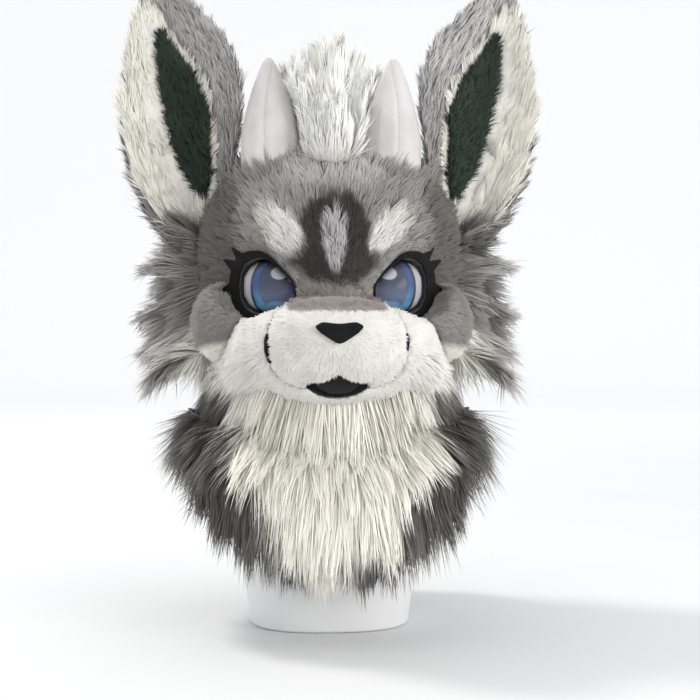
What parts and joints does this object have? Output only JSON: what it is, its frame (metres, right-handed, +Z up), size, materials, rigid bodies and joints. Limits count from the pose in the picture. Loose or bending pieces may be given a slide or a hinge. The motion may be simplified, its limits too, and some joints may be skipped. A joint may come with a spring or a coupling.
{
  "type": "kemono fursuit head on display stand",
  "caption": "Grey and white furred animal costume head with tall ears, small horns, blue domed eyes and a neck ruff, resting on a plain white stand",
  "frame": {"origin": "middle of the stand's foot, on the surface that it stands on", "axes": "+Z up, -Y the way the face looks, +X the wearer's left"},
  "size_m": [0.4282, 0.3824, 0.6734],
  "materials": {
    "grey_fur": "long-pile grey faux fur over foam",
    "white_fur": "long-pile creamy white faux fur",
    "dark_fur": "long-pile dark grey faux fur with paler tips",
    "green_fur": "short-pile blackish green faux fur",
    "white_plush": "short-pile white plush over foam",
    "grey_plush": "short-pile grey plush over foam",
    "black_plush": "black minky and felt",
    "horn_suede": "smooth pale minky, stuffed, with a stitched seam",
    "vent_cloth": "dark grey smooth air mesh",
    "eye_print": "printed mesh of a blue iris in a moulded bowl",
    "clear_dome": "clear moulded acrylic",
    "stand_white": "smooth white, slightly satin"
  },
  "bodies": {
    "root": {"bib_fur": "white_fur", "cheek_fur_left": "grey_fur", "cheek_fur_right": "grey_fur", "cheek_left": "grey_plush", "cheek_right": "grey_plush", "ear_core_left": "green_fur", "ear_core_right": "green_fur", "ear_lining_left": "white_fur", "ear_lining_right": "white_fur", "ear_shell_left": "grey_fur", "ear_shell_right": "grey_fur", "eye_dome_left": "clear_dome", "eye_dome_right": "clear_dome", "eye_frame_left": "black_plush", "eye_frame_right": "black_plush", "eye_print_left": "eye_print", "eye_print_right": "eye_print", "hair_tuft": "white_fur", "head_shell": "grey_fur", "horn_left": "horn_suede", "horn_right": "horn_suede", "jaw": "white_plush", "mouth_lining": "black_plush", "mouth_panel": "vent_cloth", "muzzle": "white_plush", "neck_skirt": "grey_fur", "nose": "black_plush", "ruff_fur_back": "dark_fur", "ruff_fur_left": "dark_fur", "ruff_fur_right": "dark_fur", "stand_plinth": "stand_white", "stand_post": "stand_white"}
  },
  "joints": []
}
